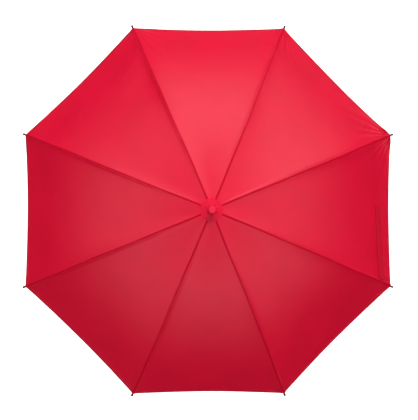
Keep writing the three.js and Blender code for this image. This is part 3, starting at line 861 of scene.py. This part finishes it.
# ---- Rib tips, corner bindings and the thread ties between canopy and ribs ----
def placed(obj, azimuth, r, z, slope):
    """Lay a piece turned about Z along a rib: its Z axis runs outwards and down the rib's slope."""
    lay = Matrix.Rotation(azimuth, 4, "Z") @ Matrix.Rotation(math.pi / 2 + slope, 4, "Y")
    obj.data.transform(Matrix.Translation(Vector((r * math.cos(azimuth), r * math.sin(azimuth), z))) @ lay)


TIP_LENGTH = 26 * MM
TIP_BALL_R = 3.9 * MM


def rib_tip(i):
    outline = [(0, 0.2 * MM), (2.9 * MM, 0), (3.5 * MM, 0.6 * MM), (3.6 * MM, 1.6 * MM), (3.3 * MM, 2.4 * MM),
               (3.3 * MM, 9.6 * MM), (3.8 * MM, 10.4 * MM), (3.8 * MM, 11.6 * MM), (3.4 * MM, 14 * MM),
               (3.2 * MM, 17 * MM), (3.2 * MM, 19 * MM), (3.5 * MM, 20.5 * MM)]
    outline += arc_points(0, TIP_LENGTH - TIP_BALL_R, TIP_BALL_R, TIP_BALL_R, -25, 90, 9)
    obj = lathe(f"tip_cap_{i + 1}", outline, tip_plastic, 28)
    start = RIB_LENGTH - TIP_LENGTH
    r, z = rib_point(start)
    placed(obj, rib_azimuth(i), r, z, CROWN_SLOPE + start / BEND_R)
    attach(obj, f"rib_{i + 1}")
    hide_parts(f"rib_tip_{i + 1}")


def thread_loops(name, i, spots, half_width, low, high, radius=0.32 * MM):
    """Oval turns of thread round a rib, each (distance along the rib, lean), joined into one piece.

    half_width, low and high are the oval's, measured from the rib's middle line.
    """
    vertices, faces = [], []
    around, section = 20, 6
    azimuth = rib_azimuth(i)
    for s, lean in spots:
        base = len(vertices)
        for k in range(around):
            turn = 2 * math.pi * k / around
            rise = (high + low) / 2 + (high - low) / 2 * math.sin(turn)
            r, z = rib_point(s + lean * math.sin(turn + 0.6), rise)
            centre = r * radial(azimuth) + half_width * math.cos(turn) * tangent(azimuth)
            centre = centre + np.array([0, 0, z])
            slope = CROWN_SLOPE + s / BEND_R
            up = math.sin(slope) * radial(azimuth) + np.array([0, 0, math.cos(slope)])
            along = math.cos(slope) * radial(azimuth) - np.array([0, 0, math.sin(slope)])
            outward = math.cos(turn) * tangent(azimuth) + math.sin(turn) * up
            for m in range(section):
                roll = 2 * math.pi * m / section
                vertices.append(centre + radius * (math.cos(roll) * outward + math.sin(roll) * along))
        for k in range(around):
            for m in range(section):
                a, b = base + k * section, base + (k + 1) % around * section
                n = (m + 1) % section
                faces.append((a + m, b + m, b + n, a + n))
    obj = make_object(name, vertices, faces, thread, sharp=80)
    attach(obj, f"rib_{i + 1}")


def canopy_ties(i):
    """Three turns of thread at each tie, leaning one way and the other."""
    turns = [(share * RIB_LENGTH + k * 0.75 * MM, 0.5 * MM * (-1) ** k) for share in TIES for k in range(3)]
    thread_loops(f"canopy_ties_{i + 1}", i, turns, 1.9 * MM, -2.5 * MM, CLOTH_RISE - 0.3 * MM)


def corner_binding(i):
    """Four turns of thread that hold the canopy's corner to the rib, beside its tip."""
    turns = [(CORNER_S - 3 * MM + k * 0.7 * MM, 0.3 * MM) for k in range(4)]
    thread_loops(f"corner_binding_{i + 1}", i, turns, 3.1 * MM, -3.1 * MM, CLOTH_RISE)


for rib in range(RIBS):
    rib_tip(rib)
    canopy_ties(rib)
    corner_binding(rib)


# ---- CAD pieces that stay, with their finishes ----
EASED_EDGE = 0.22 * MM


def finish_nodes():
    """Give each CAD node that still shows the finish of its slot, and ease its edges."""
    finishes = {"black_steel": lacquer, "bright_steel": zinc, "black_plastic": nylon, "tips": tip_plastic}
    for part in frame["record"]["subparts"]:
        node = frame["nodes"][part["node"]]
        material = finishes.get(part["material_slot"])
        if material is None or node.hide_render:
            continue
        node.data.materials.clear()
        node.data.materials.append(material)
        node.data.shade_smooth()
        node.data.set_sharp_from_angle(angle=math.radians(32))
        bevel = node.modifiers.new("eased_edges", "BEVEL")
        bevel.width = EASED_EDGE
        bevel.segments = 2
        bevel.limit_method = "ANGLE"
        bevel.angle_limit = math.radians(40)
        bevel.harden_normals = True


finish_nodes()


# ---- Stage, light and camera ----
FLOOR_HALF = 40.0
WALL_R = 70.0
WALL_HALF = 60.0  # the backdrop runs this far above and below the object
WALL_SIDES = 48


def glowing_white(name, glow, one_sided):
    """A white that glows, for stage pieces. One-sided, it is clear from behind."""
    material, nodes, links, shader = new_material(name)
    shader.inputs["Base Color"].default_value = (0.9, 0.9, 0.9, 1)
    shader.inputs["Roughness"].default_value = 0.9
    shader.inputs["Emission Color"].default_value = (1, 1, 1, 1)
    shader.inputs["Emission Strength"].default_value = glow
    if one_sided:
        clear = nodes.new("ShaderNodeBsdfTransparent")
        side = nodes.new("ShaderNodeNewGeometry")
        mixed = nodes.new("ShaderNodeMixShader")
        links.new(side.outputs["Backfacing"], mixed.inputs[0])
        links.new(shader.outputs[0], mixed.inputs[1])
        links.new(clear.outputs[0], mixed.inputs[2])
        links.new(mixed.outputs[0], nodes["Material Output"].inputs["Surface"])
    return material


def stage_piece(name, vertices, faces, material):
    """Part of the floor or backdrop. Only the camera's own rays meet it, so it doesn't light the object."""
    mesh = bpy.data.meshes.new(name)
    mesh.from_pydata(vertices, [], faces)
    mesh.materials.append(material)
    obj = bpy.data.objects.new(name, mesh)
    bpy.context.scene.collection.objects.link(obj)
    obj.visible_diffuse = False
    obj.visible_glossy = False
    obj.visible_transmission = False
    return obj


def floor_and_backdrop():
    half = FLOOR_HALF
    level = cad_box[0].z - 0.5 * MM  # just under the object
    square = [(-half, -half, level), (half, -half, level), (half, half, level), (-half, half, level)]
    stage_piece("floor", square, [(0, 1, 2, 3)], glowing_white("floor_white", 0.9, True))
    around = WALL_SIDES
    turns = [2 * math.pi * k / around for k in range(around)]
    ring = [(WALL_R * math.cos(a), WALL_R * math.sin(a)) for a in turns]
    walls = [(x, y, z) for z in (-WALL_HALF, WALL_HALF) for x, y in ring]
    faces = [(k, (k + 1) % around, around + (k + 1) % around, around + k) for k in range(around)]
    faces += [tuple(range(around)), tuple(range(around, 2 * around))]
    wall = stage_piece("backdrop", walls, faces, glowing_white("backdrop_white", 0.92, False))
    wall.visible_shadow = False


def area_light(name, elevation, azimuth, distance, width, height, power, aim=(0, 0, 0.65)):
    """A rectangular light at distance from aim, turned towards it. The angles are in degrees."""
    data = bpy.data.lights.new(name, "AREA")
    data.shape = "RECTANGLE"
    data.size = width
    data.size_y = height
    data.energy = power
    e, a = math.radians(elevation), math.radians(azimuth)
    toward = Vector((math.cos(e) * math.cos(a), math.cos(e) * math.sin(a), math.sin(e)))
    obj = bpy.data.objects.new(name, data)
    obj.location = Vector(aim) + toward * distance
    obj.rotation_mode = "QUATERNION"
    obj.rotation_quaternion = (-toward).to_track_quat("-Z", "Y")
    bpy.context.scene.collection.objects.link(obj)
    return obj


# The white room's light. A direction's height is its z, 0 when level and 1 overhead. Each band is the
# two heights that it lies between and the change in strength from one to the other.
ROOM_BANDS = [(0.44, 0.52, 3.1), (0.60, 0.68, -2.7), (0.79, 0.85, 0.35), (0.92, 0.98, -0.75)]
BOUNCE = 0.6  # light coming back up from the floor
# Lights: elevation and azimuth in degrees, distance, width, height, power
KEY_LIGHT = (60, 78, 4.2, 0.5, 0.5, 78)
WIDE_SOFTBOX = (25, 78, 4.2, 7.0, 2.0, 86)


def studio():
    """The room's light, graded by height, with a small key light and a wide softbox."""
    scene = bpy.context.scene
    scene.view_settings.view_transform = "Standard"
    world = bpy.data.worlds.new("studio")
    world.use_nodes = True
    nodes, links = world.node_tree.nodes, world.node_tree.links
    nodes["Background"].inputs["Color"].default_value = (1, 1, 1, 1)
    parts = nodes.new("ShaderNodeSeparateXYZ")
    links.new(nodes.new("ShaderNodeTexCoord").outputs["Generated"], parts.inputs[0])
    strength = ramp(nodes, links, parts.outputs["Z"], -0.40, -0.15, BOUNCE, 0.0)
    for low, high, change in ROOM_BANDS:
        band = ramp(nodes, links, parts.outputs["Z"], low, high, 0.0, change)
        strength = math_node(nodes, links, "ADD", strength, band)
    links.new(strength, nodes["Background"].inputs["Strength"])
    scene.world = world
    key = area_light("key_light", *KEY_LIGHT)
    key.visible_glossy = False
    area_light("wide_softbox", *WIDE_SOFTBOX)


CAMERA_LEAN = (-1.80, -0.42)  # degrees off straight above, in x and y
CAMERA_AIM = (2.1 * MM, 2.3 * MM, 0.5)
CAMERA_DISTANCE = 8.0
CAMERA_LENS = 211.2


def camera():
    """A long lens almost straight above, leaning a little, so that the crown sits off the rim's centre."""
    lean = Vector([math.sin(math.radians(degrees)) for degrees in CAMERA_LEAN] + [0])
    lean.z = math.sqrt(1 - lean.length_squared)
    right = Vector((0, 1, 0)).cross(lean).normalized()
    up = lean.cross(right)
    data = bpy.data.cameras.new("camera")
    data.lens = CAMERA_LENS
    data.sensor_width = 36
    data.clip_end = 200
    obj = bpy.data.objects.new("camera", data)
    place = Matrix((right, up, lean)).transposed().to_4x4()
    place.translation = Vector(CAMERA_AIM) + lean * CAMERA_DISTANCE
    obj.matrix_world = place
    bpy.context.scene.collection.objects.link(obj)
    bpy.context.scene.camera = obj


floor_and_backdrop()
studio()
camera()
